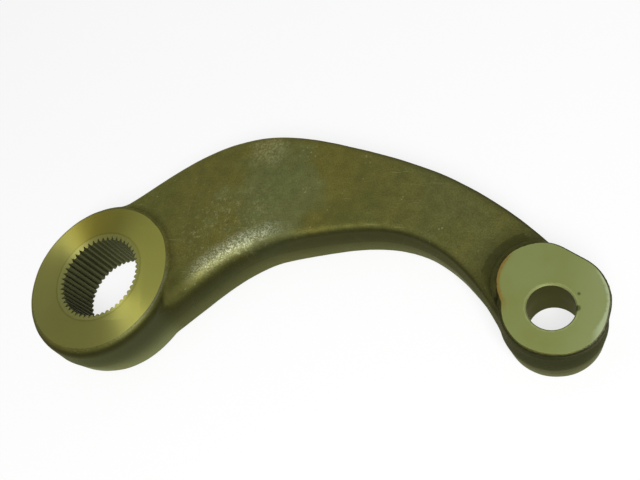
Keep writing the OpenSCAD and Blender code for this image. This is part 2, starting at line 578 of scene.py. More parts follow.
def surface_net(values: Array, origin: Array, cell: float) -> tuple[Array, Array]:
    """Quads of the zero surface of a sampled field.

    Args:
        values: Samples on a regular grid, negative inside.
        origin: Place of the first sample.
        cell: Spacing of the samples.

    Returns:
        Vertices and quads, with the quads' normals outwards.
    """
    inside = values < 0
    size = np.array(values.shape) - 1
    corners = [(i, j, k) for i in (0, 1) for j in (0, 1) for k in (0, 1)]

    def at(block: Array, corner: Sequence[int]) -> Array:
        """Values at one corner of every cell."""
        return block[tuple(slice(c, c + n) for c, n in zip(corner, size))]

    total = sum(at(inside, c).astype(np.int8) for c in corners)
    active = (total > 0) & (total < len(corners))
    number = np.full(active.shape, -1)
    number[active] = np.arange(active.sum())
    place = np.zeros((active.sum(), 3))
    hits = np.zeros(len(place))
    for a in corners:
        for axis in range(3):
            if a[axis]:
                continue
            b = list(a)
            b[axis] = 1
            va, vb = at(values, a)[active], at(values, b)[active]
            crossed = (va < 0) != (vb < 0)
            step = np.array(a, float)[None, :] * crossed[:, None]
            step[:, axis] += np.where(crossed, va / np.where(crossed, va - vb, 1.0), 0.0)
            place += step
            hits += crossed
    points = origin + cell * (np.argwhere(active) + place / hits[:, None])
    quads = []
    for axis in range(3):
        u, v = (axis + 1) % 3, (axis + 2) % 3
        first = [slice(1, n) for n in size]
        first[axis] = slice(0, size[axis])
        second = list(first)
        second[axis] = slice(1, size[axis] + 1)
        start, end = inside[tuple(first)], inside[tuple(second)]
        for flip, chosen in ((False, start & ~end), (True, ~start & end)):
            base = np.argwhere(chosen)
            base[:, u] += 1
            base[:, v] += 1
            ring = []
            for du, dv in ((-1, -1), (0, -1), (0, 0), (-1, 0)):
                spot = base.copy()
                spot[:, u] += du
                spot[:, v] += dv
                ring.append(number[tuple(spot.T)])
            quads.append(np.stack(ring[::-1] if flip else ring, 1))
    return points, np.vstack(quads)


@dataclass(frozen=True)
class Mottle:
    """Noise texture, and the span to which its values between low and high are mapped."""

    scale: float
    low: float
    high: float
    out_low: float = 0.0
    out_high: float = 1.0
    detail: float = 2.0
    rough: float = 0.5


@dataclass(frozen=True)
class Spot:
    """Spot with a ragged border, in metres: all there up to one distance and gone from another."""

    place: tuple
    full: float
    reach: float
    ragged: float


class NodeBench:
    """Adds nodes to a tree and links them in short calls."""

    # Vector operations that give a number, and the noise of a spot's border.
    MEASURES = ("DISTANCE", "LENGTH", "DOT_PRODUCT")
    BORDER = (75.0, 4.0, 0.6)

    def __init__(self, tree: bpy.types.NodeTree) -> None:
        """Keeps the tree and clears it."""
        self.tree = tree
        tree.nodes.clear()

    def add(self, kind: str, inputs: Optional[dict] = None, **settings: object) -> bpy.types.Node:
        """New node.

        Args:
            kind: Node type.
            inputs: Socket name or number to a value or to a socket to link from.
            **settings: Properties of the node.

        Returns:
            The node.
        """
        node = self.tree.nodes.new(kind)
        for name, value in settings.items():
            setattr(node, name, value)
        for name, value in (inputs or {}).items():
            socket = node.inputs[name]
            if isinstance(value, Socket):
                self.tree.links.new(value, socket)
            else:
                socket.default_value = value
        return node

    def place(self) -> Socket:
        """Object coordinates."""
        return self.add("ShaderNodeTexCoord").outputs["Object"]

    def math(self, operation: str, *terms: Term) -> Socket:
        """Result of a math node on numbers or sockets."""
        return self.add("ShaderNodeMath", dict(enumerate(terms)), operation=operation).outputs[0]

    def chain(self, operation: str, *terms: Term) -> Socket:
        """Result of a math operation on any count of numbers or sockets, two at a time."""
        return reduce(lambda a, b: self.math(operation, a, b), terms)

    def times(self, *terms: Term) -> Socket:
        """Product of numbers or sockets."""
        return self.chain("MULTIPLY", *terms)

    def most(self, *terms: Term) -> Socket:
        """Greatest of some numbers or sockets."""
        return self.chain("MAXIMUM", *terms)

    def vector(self, operation: str, *terms: Term) -> Socket:
        """Result of a vector math node: a number where it measures, else a vector."""
        node = self.add("ShaderNodeVectorMath", dict(enumerate(terms)), operation=operation)
        return node.outputs["Value" if operation in self.MEASURES else "Vector"]

    def ramp(self, value: Socket, low: float, high: float, out_low: float = 0.0,
             out_high: float = 1.0) -> Socket:
        """Value mapped smoothly from one span to another and held at its ends."""
        inputs = {0: value, 1: low, 2: high, 3: out_low, 4: out_high}
        return self.add("ShaderNodeMapRange", inputs, interpolation_type="SMOOTHSTEP").outputs[0]

    def mix(self, share: Term, a: Term, b: Term, blend: str = "MIX") -> Socket:
        """Mix of two colours."""
        inputs = {0: share, 6: a, 7: b}
        return self.add("ShaderNodeMix", inputs, data_type="RGBA", blend_type=blend).outputs[2]

    def toned(self, colour: Socket, tone: Socket) -> Socket:
        """Colour made lighter or darker by a factor."""
        tint = self.add("ShaderNodeCombineColor", {0: tone, 1: tone, 2: tone}).outputs[0]
        return self.mix(1.0, colour, tint, "MULTIPLY")

    def noise(self, place: Socket, scale: float, detail: float = 2.0, rough: float = 0.5) -> Socket:
        """Value of a noise texture at a place."""
        inputs = {"Vector": place, "Scale": scale, "Detail": detail, "Roughness": rough}
        return self.add("ShaderNodeTexNoise", inputs).outputs[0]

    def mottle(self, place: Socket, kind: Mottle) -> Socket:
        """Value of a mottle at a place."""
        value = self.noise(place, kind.scale, kind.detail, kind.rough)
        return self.ramp(value, kind.low, kind.high, kind.out_low, kind.out_high)

    def ragged(self, place: Socket, reach: float, *texture: float) -> Socket:
        """Distance by which a border wanders: half the reach to each side, with a noise texture."""
        return self.times(self.math("SUBTRACT", self.noise(place, *texture), 0.5), reach)

    def near(self, place: Socket, spot: Spot) -> Socket:
        """Share of a spot at a place.

        Args:
            place: Object coordinates.
            spot: The spot.

        Returns:
            One in the spot and nought away from it.
        """
        gap = self.vector("DISTANCE", place, spot.place)
        wander = self.ragged(place, spot.ragged, *self.BORDER)
        return self.ramp(self.math("ADD", gap, wander), spot.reach, spot.full)

    def bump(self, height: Socket, strength: float, distance: float,
             normal: Optional[Socket] = None) -> Socket:
        """Normal bent by a height, on top of another normal if there is one.

        Args:
            height: The height.
            strength: Share of the bend.
            distance: Height of one unit, in metres.
            normal: The normal below.

        Returns:
            The bent normal.
        """
        inputs = {"Strength": strength, "Distance": distance, "Height": height}
        if normal is not None:
            inputs["Normal"] = normal
        return self.add("ShaderNodeBump", inputs).outputs[0]

    def surface(self, inputs: dict) -> None:
        """Ends a material with a Principled shader."""
        shader = self.add("ShaderNodeBsdfPrincipled", inputs)
        self.add("ShaderNodeOutputMaterial", {0: shader.outputs[0]})


def new_material(name: str) -> tuple[bpy.types.Material, NodeBench]:
    """New material.

    Args:
        name: Its name.

    Returns:
        The material and the bench of its empty tree.
    """
    mat = bpy.data.materials.new(name)
    mat.use_nodes = True
    return mat, NodeBench(mat.node_tree)


def rgb(red: float, green: float, blue: float) -> tuple[float, float, float, float]:
    """Linear colour from display values of 0 to 255.

    Args:
        red: Red.
        green: Green.
        blue: Blue.

    Returns:
        Linear red, green and blue, and an alpha of one.
    """
    def linear(value: float) -> float:
        """One channel, by the sRGB curve."""
        v = value / 255
        return v / 12.92 if v <= 0.04045 else ((v + 0.055) / 1.055) ** 2.4

    return linear(red), linear(green), linear(blue), 1.0


@dataclass(frozen=True)
class ForgedFinish:
    """Shot-blasted forged skin under a matt olive passivate, with painted shade, painted highlights and
    painted light on the walls in its colour, and places in metres.
    """

    name: str = "forged_passivate"
    brown: tuple = rgb(88, 84, 39)
    olive: tuple = rgb(79, 79, 38)
    cloud: Mottle = Mottle(34.0, 0.36, 0.64, detail=3.0, rough=0.55)
    grey: tuple = rgb(86, 91, 54)
    grey_spot: Spot = Spot((0.0625, 0.0355, 0.009), 0.010, 0.025, 0.05)
    grey_share: float = 0.75
    # Greyer, slightly darker tone towards the small eye: partly a tint of the passivate, partly painted shade
    # where the lamp's light falls off.
    far_shade_tint: tuple = rgb(80, 82, 46)
    far_shade_tint_cloud: Mottle = Mottle(48.0, 0.40, 0.64, 0.55)
    far_shade_tint_span: tuple = (0.080, 0.125)
    far_shade_tint_share: float = 0.9
    tone: Mottle = Mottle(260.0, 0.25, 0.75, 0.87, 1.13, 4.0, 0.62)
    grain: tuple = (2100.0, 2.0, 0.6)
    grain_tone: tuple = (0.25, 0.75, 0.80, 1.20)
    grain_rough: tuple = (0.2, 0.8, 0.34, 0.48)
    grain_bump: tuple = (0.5, 0.0002)
    speck: tuple = rgb(168, 168, 126)
    scratch: Mottle = Mottle(1.0, 0.71, 0.80, 0.0, 0.16, 1.0)
    scratch_turn: tuple = (0.0, 0.0, 0.5)
    scratch_scale: tuple = (130.0, 2100.0, 90.0)
    nick_scale: float = 620.0
    nick_span: tuple = (0.28, 0.10, 0.0, 0.30)
    nick_cloud: Mottle = Mottle(85.0, 0.56, 0.69, detail=3.0, rough=0.7)
    # Painted glints: pale flecks round the highlight on the inner edge.
    glint_flecks: Mottle = Mottle(640.0, 0.52, 0.72, 0.0, 0.34, 4.0, 0.75)
    glint_fleck_spot: Spot = Spot((0.046, 0.022, 0.009), 0.0078, 0.026, 0.02)
    scuff: Mottle = Mottle(900.0, 0.40, 0.72, 0.04, 0.34, 3.0, 0.7)
    scuff_spot: Spot = Spot((0.0545, 0.0545, 0.009), 0.0027, 0.009, 0.012)
    # Painted light: steep side walls turn paler and greyer, a painted reflection of the pale floor.
    side: tuple = rgb(142, 149, 104)
    painted_wall_light_share: float = 0.7
    # Painted shade: the dark colour that hollows, upper walls and the neck and root fillets are darkened
    # towards.
    shade: tuple = rgb(20, 21, 6)
    # Painted shade in the fillet round the small eye's pad and where the inner edge meets the big boss, and
    # its share.
    neck_shade_spot: Spot = Spot((0.154, 0.007, 0.008), 0.01292, 0.0255, 0.005)
    root_spot: Spot = Spot((0.032, -0.008, 0.006), 0.0048, 0.0168, 0.004)
    shade_spot_share: float = 0.55
    # Skin layers of painted shade and their shares; the shaded places are also made rougher.
    shade_layers: tuple = (("hollow", 0.75), ("skirt", 0.92))
    shade_rough: float = 0.25
    # Painted highlight: colour of the highlight and glints on the inner edge and of the lit rims; then the
    # glints' mottles and place.
    bright: tuple = rgb(186, 190, 164)
    painted_glints: Mottle = Mottle(1900.0, 0.40, 0.68, 0.06, 0.80, 2.0, 0.7)
    glint_cloud: Mottle = Mottle(300.0, 0.34, 0.62, 0.45, 1.0, 3.0, 0.6)
    glint_spot: Spot = Spot((0.0510, 0.0150, 0.008), 0.006, 0.024, 0.012)
    rim_span: tuple = (0.35, 0.65, 0.16, 0.36)
    swell: tuple = (260.0, 3.0)
    swell_bump: tuple = (0.2, 0.0006)
    metallic: float = 0.6
    specular: float = 0.15
    tint: tuple = (0.70, 0.68, 0.36, 1.0)

    def body(self, b: NodeBench, place: Socket, grain: Socket) -> Socket:
        """Colour of the passivated skin: brown and olive clouds, a grey patch, a greyer tone with painted
        shade towards the small eye, and fine grain.

        Args:
            b: Bench of the material.
            place: Object coordinates.
            grain: Noise of the blasted grain.

        Returns:
            The colour.
        """
        colour = b.mix(b.mottle(place, self.cloud), self.brown, self.olive)
        patch = b.times(b.near(place, self.grey_spot), self.grey_share)
        colour = b.mix(patch, colour, self.grey)
        # Greyer tint with painted shade towards the small eye.
        along = b.add("ShaderNodeSeparateXYZ", {0: place}).outputs[0]
        far = b.ramp(along, *self.far_shade_tint_span, 0.0, self.far_shade_tint_share)
        colour = b.mix(b.times(b.mottle(place, self.far_shade_tint_cloud), far), colour, self.far_shade_tint)
        return b.toned(colour, b.times(b.mottle(place, self.tone), b.ramp(grain, *self.grain_tone)))

    def wear_and_glints(self, b: NodeBench, place: Socket) -> Socket:
        """Share of pale metal: fine scratches, scattered nicks and a scuff, and flecks that are painted
        glints round the inner edge's highlight.

        Args:
            b: Bench of the material.
            place: Object coordinates.

        Returns:
            The share.
        """
        stretched = b.add("ShaderNodeMapping", {
            "Vector": place, "Rotation": self.scratch_turn, "Scale": self.scratch_scale})
        pits = b.add("ShaderNodeTexVoronoi", {"Vector": place, "Scale": self.nick_scale})
        return b.most(
            b.mottle(stretched.outputs[0], self.scratch),
            b.times(b.ramp(pits.outputs["Distance"], *self.nick_span), b.mottle(place, self.nick_cloud)),
            b.times(b.near(place, self.glint_fleck_spot), b.mottle(place, self.glint_flecks)),
            b.times(b.near(place, self.scuff_spot), b.mottle(place, self.scuff)))

    def rims_and_highlight(self, b: NodeBench, place: Socket, grain: Socket, layers: dict) -> Socket:
        """Share of the painted highlight colour: abraded rims on the bosses, brightest on their lit side as a
        painted highlight, and painted glints of grain on the inner edge.

        Args:
            b: Bench of the material.
            place: Object coordinates.
            grain: Noise of the blasted grain.
            layers: Name of a skin layer to its value.

        Returns:
            The share.
        """
        # Painted glints on the crest of the inner round edge.
        painted_glints = b.times(
            b.near(place, self.glint_spot), b.mottle(place, self.painted_glints), b.mottle(place, self.glint_cloud))
        rims = b.times(layers["edge"], b.ramp(grain, *self.rim_span))
        return b.most(rims, b.times(painted_glints, layers["round"]))

    def material(self) -> bpy.types.Material:
        """Builds the material.

        Returns:
            The material.
        """
        mat, b = new_material(self.name)
        place = b.place()
        grain = b.noise(place, *self.grain)
        layers = {
            name: b.add("ShaderNodeAttribute", attribute_name=name).outputs["Fac"] for name in SKIN_LAYERS}
        # Pale scratches, nicks and scuff, and flecks that are painted glints.
        colour = b.mix(self.wear_and_glints(b, place), self.body(b, place, grain), self.speck)
        # Painted reflection of the pale floor on the side walls.
        colour = b.mix(b.times(layers["wall"], self.painted_wall_light_share), colour, self.side)
        shade_spots = b.most(b.near(place, self.neck_shade_spot), b.near(place, self.root_spot))
        # Painted shade: darkening of the hollows, of the upper walls under the edges and of the fillets at
        # the neck and root.
        painted_shade = b.most(
            b.times(shade_spots, self.shade_spot_share),
            *(b.times(layers[name], share) for name, share in self.shade_layers))
        colour = b.mix(painted_shade, colour, self.shade)
        # Painted highlight on the inner round edge and on the lit rims of the bosses.
        colour = b.mix(self.rims_and_highlight(b, place, grain, layers), colour, self.bright)
        rough = b.math("ADD", b.ramp(grain, *self.grain_rough), b.times(painted_shade, self.shade_rough))
        fine = b.bump(grain, *self.grain_bump)
        b.surface({
            "Base Color": colour, "Metallic": self.metallic, "Roughness": rough,
            "Specular IOR Level": self.specular, "Specular Tint": self.tint,
            "Normal": b.bump(b.noise(place, *self.swell), *self.swell_bump, fine)})
        return mat


@dataclass(frozen=True)
class CutFinish:
    """Bare cut metal under the passivate, with fine marks of the tool round an axis, in metres."""

    name: str
    colour: tuple
    shade: tuple
    axis: tuple
    metallic: float = 0.85
    roughness: float = 0.36
    anisotropic: float = 0.0
    specular: float = 0.5
    cloud: Mottle = Mottle(70.0, 0.3, 0.75, detail=3.0)
    mark_pitch: float = 0.0004
    mark_depth: float = 0.00001
    mark_bump: float = 0.5
    mark_wobble: float = 90.0
    band_scale: float = 2600.0
    band_texture: tuple = (1.0, 3.0, 0.7)
    band_span: tuple = (0.2, 0.8)
    band_tone: float = 0.11
    band_depth: float = 2.0
    tint: tuple = (0.85, 0.82, 0.45, 1.0)

    def marked(self, b: NodeBench, place: Socket, radius: Socket, colour: Socket) -> Socket:
        """Colour with the marks that one face alone has; a plain face has none."""
        return colour

    def material(self) -> bpy.types.Material:
        """Builds the material.

        Returns:
            The material.
        """
        mat, b = new_material(self.name)
        place = b.place()
        flat = b.vector("MULTIPLY", b.vector("SUBTRACT", place, (*self.axis, 0.0)), IN_PLAN)
        radius = b.vector("LENGTH", flat)
        turns = b.math(
            "ADD", b.math("DIVIDE", radius, self.mark_pitch), b.noise(place, self.mark_wobble))
        marks = b.math("SINE", b.times(turns, 2 * math.pi))
        streak = b.add("ShaderNodeCombineXYZ", {0: b.times(radius, self.band_scale)}).outputs[0]
        bands = b.noise(streak, *self.band_texture)
        tone = b.ramp(bands, *self.band_span, 1 - self.band_tone, 1 + self.band_tone)
        colour = b.toned(b.mix(b.mottle(place, self.cloud), self.colour, self.shade), tone)
        height = b.math("ADD", marks, b.times(bands, self.band_depth))
        b.surface({
            "Base Color": self.marked(b, place, radius, colour), "Metallic": self.metallic,
            "Roughness": self.roughness, "Anisotropic": self.anisotropic,
            "Tangent": b.vector("NORMALIZE", flat), "Specular IOR Level": self.specular,
            "Specular Tint": self.tint, "Normal": b.bump(height, self.mark_bump, self.mark_depth)})
        return mat


@dataclass(frozen=True)
class RingFinish(CutFinish):
    """Turned ring of the big eye: a pale lead-in with a dark line round it, tints of the passivate, and a
    lighter painted highlight on one side.
    """

    lead_r: float = 0.0172
    ragged: tuple = (0.0006, 700.0)
    tone_span: tuple = (0.40, 0.95)
    # Colour, way in plan and share of each tint: the first and lightest is a painted highlight on one side of
    # the ring, the others are tints of the passivate.
    tints_and_highlight: tuple = (
        (rgb(158, 158, 82), (0.90, 0.42, 0.0), 0.80),
        (rgb(126, 116, 44), (-0.81, 0.58, 0.0), 0.55),
        (rgb(126, 129, 78), (-0.98, -0.20, 0.0), 0.60),
        (rgb(130, 131, 76), (0.04, -1.00, 0.0), 0.60))
    # Colour, where it starts and is full outside the lead-in's rim, and its share: the line, the lead-in.
    borders: tuple = (
        (rgb(92, 86, 34), 0.0008, 0.0002, 0.35),
        (rgb(148, 150, 94), 0.0001, -0.0002, 0.5))

    def marked(self, b: NodeBench, place: Socket, radius: Socket, colour: Socket) -> Socket:
        """Colour with the tints, each to one side of the ring, the lightest being a painted highlight, the
        lead-in and its border.

        Args:
            b: Bench of the material.
            place: Object coordinates.
            radius: Distance from the eye's axis.
            colour: Colour of the plain face.

        Returns:
            The colour.
        """
        way = b.vector("NORMALIZE", b.vector("MULTIPLY", place, IN_PLAN))
        # Tints to each side of the ring; the lightest is a painted highlight.
        for tone, side, share in self.tints_and_highlight:
            toward = b.ramp(b.vector("DOT_PRODUCT", way, side), *self.tone_span, 0.0, share)
            colour = b.mix(toward, colour, tone)
        edge = b.math("ADD", radius, b.ragged(place, *self.ragged))
        for tone, start, full, share in self.borders:
            border = b.ramp(edge, self.lead_r + start, self.lead_r + full, 0.0, share)
            colour = b.mix(border, colour, tone)
        return colour


@dataclass(frozen=True)
class PadFinish(CutFinish):
    """Milled pad of the small eye: a pale rim, a pit, a nick, a stain along its edge towards the arm and a
    painted highlight along its right edge.
    """

    ragged: tuple = (0.0011, 900.0, 3.0)
    upper_span: tuple = (0.0, 0.008)
    tail: tuple = ((0.1539, 0.0078, 0.01025), 0.01215)
    end: tuple = ((0.1586, 0.0001, 0.01025), 0.01385)
    middle: tuple = ((0.1586, 0.0028, 0.01025), 0.01425)
    rim: tuple = rgb(160, 164, 112)
    rim_span: tuple = (0.0078, 0.0071, 0.0, 0.30)
    stain: tuple = rgb(112, 78, 20)
    stain_across: tuple = (0.1464, 0.1434)
    stain_along: tuple = (-0.0040, 0.0030)
    stain_depth: tuple = (-0.0014, -0.0003, 0.0, 0.7)
    pale: tuple = rgb(124, 134, 90)
    pale_across: tuple = (0.1586, 0.1706, 0.0, 0.6)
    # Painted highlight: a pale bluish line along the pad's right edge.
    edge_highlight: tuple = rgb(158, 168, 136)
    edge_highlight_across: tuple = (0.1681, 0.1711, 0.0, 0.7)
    edge_highlight_depth: tuple = (-0.0011, -0.0003)
    pit: tuple = rgb(50, 54, 24)
    pit_ragged: float = 0.7
    pit_share: float = 0.85
    pits: tuple = (
        ((0.1647, 0.0045, 0.01025), 0.0007, 0.0001),
        ((0.1644, 0.0002, 0.01015), 0.0013, 0.0006))

    def marked(self, b: NodeBench, place: Socket, radius: Socket, colour: Socket) -> Socket:
        """Colour with the rim, the stain, the painted highlight on the right edge, the pit and the nick.

        Args:
            b: Bench of the material.
            place: Object coordinates.
            radius: Distance from the eye's axis.
            colour: Colour of the plain face.

        Returns:
            The colour.
        """
        ragged = b.ragged(place, *self.ragged)
        across, along, high = b.add("ShaderNodeSeparateXYZ", {0: place}).outputs
        upper = b.ramp(high, *self.upper_span)

        def depth(*discs: tuple) -> Socket:
            """Distance past the ragged border of the nearest of some discs, negative inside."""
            gaps = [b.math("SUBTRACT", b.vector("DISTANCE", place, centre), r) for centre, r in discs]
            return b.math("ADD", b.chain("MINIMUM", *gaps), ragged)

        colour = b.mix(b.ramp(b.math("ADD", radius, ragged), *self.rim_span), colour, self.rim)
        stain = b.times(
            b.ramp(across, *self.stain_across), b.ramp(along, *self.stain_along), upper,
            b.ramp(depth(self.tail, self.end), *self.stain_depth))
        colour = b.mix(stain, colour, self.stain)
        colour = b.mix(b.ramp(across, *self.pale_across), colour, self.pale)
        # Painted highlight along the pad's right edge.
        edge_highlight = b.times(
            b.ramp(depth(self.middle), *self.edge_highlight_depth), b.ramp(across, *self.edge_highlight_across), upper)
        colour = b.mix(edge_highlight, colour, self.edge_highlight)
        wander = b.times(ragged, self.pit_ragged)
        for centre, reach, full in self.pits:
            gap = b.math("ADD", b.vector("DISTANCE", place, centre), wander)
            colour = b.mix(b.ramp(gap, reach, full, 0.0, self.pit_share), colour, self.pit)
        return colour


def linked(name: str, data: bpy.types.ID) -> Thing:
    """New object in the scene.

    Args:
        name: Its name.
        data: Its mesh, lamp or camera.

    Returns:
        The object.
    """
    thing = bpy.data.objects.new(name, data)
    bpy.context.scene.collection.objects.link(thing)
    return thing


def bake(thing: Thing) -> None:
    """Makes what the modifiers of an object build its plain mesh, and takes them off.

    Args:
        thing: The object.
    """
    bpy.context.view_layer.update()
    graph = bpy.context.evaluated_depsgraph_get()
    mesh = bpy.data.meshes.new_from_object(thing.evaluated_get(graph))
    thing.modifiers.clear()
    thing.data = mesh


@contextmanager
def edited(mesh: bpy.types.Mesh) -> Iterator[bmesh.types.BMesh]:
    """Opens a mesh for editing and writes it back.

    Args:
        mesh: The mesh.

    Yields:
        The open mesh.
    """
    bm = bmesh.new()
    bm.from_mesh(mesh)
    yield bm
    bm.to_mesh(mesh)
    bm.free()


def read(rows: bpy.types.bpy_prop_collection, name: str, width: int = 1, kind: type = float) -> Array:
    """One property of every vertex, face or corner.

    Args:
        rows: The vertices, faces or corners.
        name: Name of the property.
        width: Count of its values.
        kind: Type of its values.

    Returns:
        The values, one row each where there are several.
    """
    values = np.empty(width * len(rows), kind)
    rows.foreach_get(name, values)
    return values if width == 1 else values.reshape(-1, width)


@dataclass
class SerrationTool:
    """The broach that cuts the V grooves of the serrated eye."""

    sizes: ArmSizes
    over: float = 2.0
    weld: float = 0.001

    def tree(self) -> bpy.types.GeometryNodeTree:
        """Geometry Nodes tree of the tool: a star of V teeth drawn out to a closed prism.

        Returns:
            The tree.
        """
        tree = bpy.data.node_groups.new("serration_tool", "GeometryNodeTree")
        face = tree.interface
        face.new_socket("Geometry", in_out="OUTPUT", socket_type="NodeSocketGeometry")
        face.new_socket("Serrations", in_out="INPUT", socket_type="NodeSocketInt")
        for name in ("Root Radius", "Flank Radius", "Height"):
            face.new_socket(name, in_out="INPUT", socket_type="NodeSocketFloat")
        face.new_socket("Material", in_out="INPUT", socket_type="NodeSocketMaterial")
        b = NodeBench(tree)
        given = b.add("NodeGroupInput").outputs
        star = b.add("GeometryNodeCurveStar", {
            "Points": given["Serrations"],
            "Inner Radius": given["Flank Radius"],
            "Outer Radius": given["Root Radius"]})
        fill = b.add("GeometryNodeFillCurve", {"Curve": star.outputs[0]})
        rise = b.add("GeometryNodeExtrudeMesh", {
            "Mesh": fill.outputs[0], "Offset Scale": given["Height"], "Individual": False})
        base = b.add("GeometryNodeFlipFaces", {"Mesh": fill.outputs[0]})
        shell = b.add("GeometryNodeJoinGeometry")
        tree.links.new(rise.outputs["Mesh"], shell.inputs[0])
        tree.links.new(base.outputs[0], shell.inputs[0])
        closed = b.add("GeometryNodeMergeByDistance", {
            "Geometry": shell.outputs[0], "Distance": self.weld * MM})
        drop = b.add("ShaderNodeCombineXYZ", {2: b.times(given["Height"], -0.5)})
        centred = b.add("GeometryNodeTransform", {
            "Geometry": closed.outputs[0], "Translation": drop.outputs[0]})
        real = b.add("GeometryNodeRealizeInstances", {0: centred.outputs[0]})
        named = b.add("GeometryNodeSetMaterial", {
            "Geometry": real.outputs[0], "Material": given["Material"]})
        b.add("NodeGroupOutput", {0: named.outputs[0]})
        return tree

    def build(self, material: bpy.types.Material) -> Thing:
        """Tool as a plain mesh object, in metres.

        Args:
            material: Finish that the tool leaves on what it cuts.

        Returns:
            The object, with no modifier left on it.
        """
        s = self.sizes
        root = s.tip_r + s.groove_depth
        values = {
            "Serrations": s.serrations,
            "Root Radius": root * MM,
            "Flank Radius": (root - s.groove_depth / s.groove_share) * MM,
            "Height": 2 * (s.top + self.over) * MM,
            "Material": material,
        }
        tool = linked("serration_tool", bpy.data.meshes.new("serration_tool"))
        modifier = tool.modifiers.new("grow", "NODES")
        modifier.node_group = self.tree()
        for item in modifier.node_group.interface.items_tree:
            if item.in_out == "INPUT":
                modifier[item.identifier] = values[item.name]
        bake(tool)
        return tool


def turned_tool(name: str, axis: Sequence[float], profile: Sequence[tuple], points: int = 160) -> Thing:
    """Closed tool of revolution about a vertical axis.

    Args:
        name: Name of the object.
        axis: Place of the axis in plan, in millimetres.
        profile: Radius and height pairs from the bottom to the top, in millimetres.
        points: Points round the axis.

    Returns:
        The object, in metres.
    """
    mesh = bpy.data.meshes.new(name)
    turns = [2 * math.pi * i / points for i in range(points)]
    with edited(mesh) as bm:
        rings = []
        for radius, height in profile:
            rings.append([bm.verts.new((
                (axis[0] + radius * math.cos(turn)) * MM,
                (axis[1] + radius * math.sin(turn)) * MM,
                height * MM)) for turn in turns])
        bm.faces.new(rings[0][::-1])
        bm.faces.new(rings[-1])
        for low, high in zip(rings, rings[1:]):
            for i in range(points):
                j = (i + 1) % points
                bm.faces.new((low[i], low[j], high[j], high[i]))
    return linked(name, mesh)


@dataclass(frozen=True)
class SkinMarks:
    """Spans in which the layers of the forged skin grow, in millimetres or shares, and their strengths.

    A strength that is a pair runs from the first to the second along the arm, up its wall or onto a boss.
    """

    reach: float = 0.8
    far: tuple = (60.0, 130.0)
    # Way the lit side of the edges faces, and the span of facing: the pale rims there are partly abrasion and
    # partly a painted highlight.
    lit_side_way: tuple = (0.93, -0.28, 0.24)
    lit_side: tuple = (0.50, 0.92)
    edge_height: tuple = (-0.5, -0.1)
    # Band on the crest of the inner round edge where the painted highlight and glints lie.
    crest_rise: tuple = (2.0, 5.5)
    crest_fall: tuple = (5.5, 10.5)
    crest_height: tuple = (0.0, 2.0)
    # Painted shade in hollows and fillets, fading along the arm, and at the foot of the big boss.
    hollow: tuple = (0.015, 0.14)
    hollow_shade_strength: float = 0.8
    foot: tuple = (0.03, 0.25)
    foot_shade_strength: float = 0.5
    # Painted shade on the upper walls under the edges of the bosses and of the arm.
    boss_steep: tuple = (0.05, 0.40)
    boss_low: tuple = (-13.0, -20.0)
    boss_high: float = 4.0
    boss_shade_strength: tuple = (0.85, 1.0)
    inner_steep: tuple = (0.10, 0.55)
    outer_steep: tuple = (0.04, 0.34)
    arm_height: tuple = (-10.0, 4.0)
    arm_strength: tuple = (0.30, 0.82)
    # Painted reflection on the side walls: how steep a face must be, its share on the arm and on the bosses,
    # and along the arm.
    wall_light_steep: tuple = (0.40, 0.90)
    wall_light_boss: tuple = (0.4, 1.0)
    wall_light_far: tuple = (1.0, 0.7)

    def layers(self, blank: ForgedBlank, place: Array) -> dict[str, Array]:
        """Where the forged skin is rounded over, where it is hollow and where it is a side wall: the masks of
        its abraded rims and of its painted shade, painted highlight and painted light on the walls.

        Args:
            blank: The forging.
            place: Points on its skin.

        Returns:
            Name of each skin layer to its values.
        """
        bend, normal = blank.bend(place, self.reach), blank.normals(place)
        boss, terms = blank.boss_share(place), blank.plan_terms(place[:, :2])
        along, _, high = place.T
        steep = 1 - np.abs(normal[:, 2])
        far = ease(*self.far, along)
        hollow = ease(*self.hollow, -bend) * far
        foot = ease(*self.foot, -bend) * (1 - far)
        lit_side = ease(*self.lit_side, normal @ np.array(self.lit_side_way))
        crest = ease(*self.crest_rise, -terms.wall) * (1 - ease(*self.crest_fall, -terms.wall))
        on_boss = ease(*self.boss_steep, steep) * ease(between(self.boss_low, far), self.boss_high, high)
        rim = np.where(terms.inner, ease(*self.inner_steep, steep), ease(*self.outer_steep, steep))
        on_arm = rim * between(self.arm_strength, ease(*self.arm_height, high))
        wall = ease(*self.wall_light_steep, steep)
        # edge: abraded rims, brightest on their lit side as a painted highlight; round: where the painted
        # highlight lies; hollow and skirt: painted shade; wall: painted reflection of the floor.
        return {
            "edge": boss * ease(*self.edge_height, high - blank.sizes.top) * (1 - hollow) * lit_side,
            "round": terms.inner * crest * (1 - boss) * ease(*self.crest_height, high),
            "hollow": np.maximum(self.hollow_shade_strength * hollow, self.foot_shade_strength * foot),
            "skirt": boss * on_boss * between(self.boss_shade_strength, far) + (1 - boss) * on_arm,
            "wall": wall * between(self.wall_light_boss, boss) * between(self.wall_light_far, far),
        }


